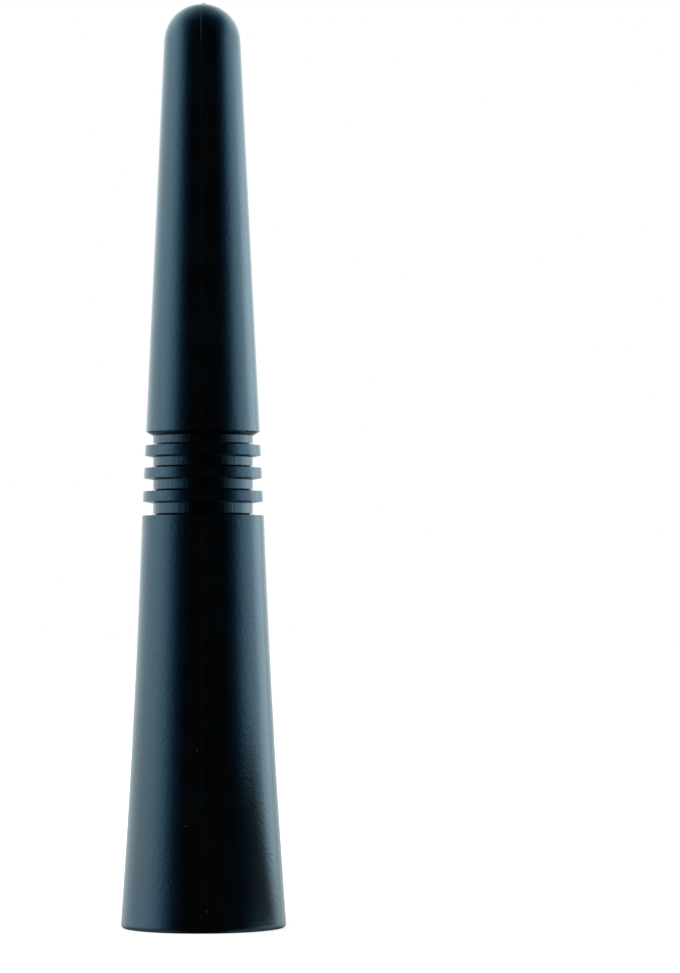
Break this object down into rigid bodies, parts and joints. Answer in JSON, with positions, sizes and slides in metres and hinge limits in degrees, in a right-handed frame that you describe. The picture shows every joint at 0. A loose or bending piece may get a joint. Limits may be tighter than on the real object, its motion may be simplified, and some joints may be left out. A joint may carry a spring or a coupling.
{
  "type": "car mast aerial",
  "caption": "Short black rubber car mast aerial with a domed tip, ribbed neck and flared base, moulded over a wound core and a threaded metal bush that screws onto a stud.",
  "frame": {"origin": "centre of the round base face, on the mast's axis", "axes": "+Z along the mast's axis, from the base to the tip; +X and +Y are any two directions across it"},
  "size_m": [0.016, 0.016, 0.09],
  "materials": {
    "black_rubber": "satin moulded rubber",
    "turned_brass": "bright turned brass",
    "glass_fibre": "pale drawn glass fibre",
    "copper_strip": "bare copper strip",
    "shrink_plastic": "black heat-shrink plastic"
  },
  "bodies": {
    "root": {"rubber_mast": "black_rubber", "threaded_bush": "turned_brass", "core_rod": "glass_fibre", "aerial_winding": "copper_strip", "shrink_tube": "shrink_plastic"}
  },
  "joints": []
}
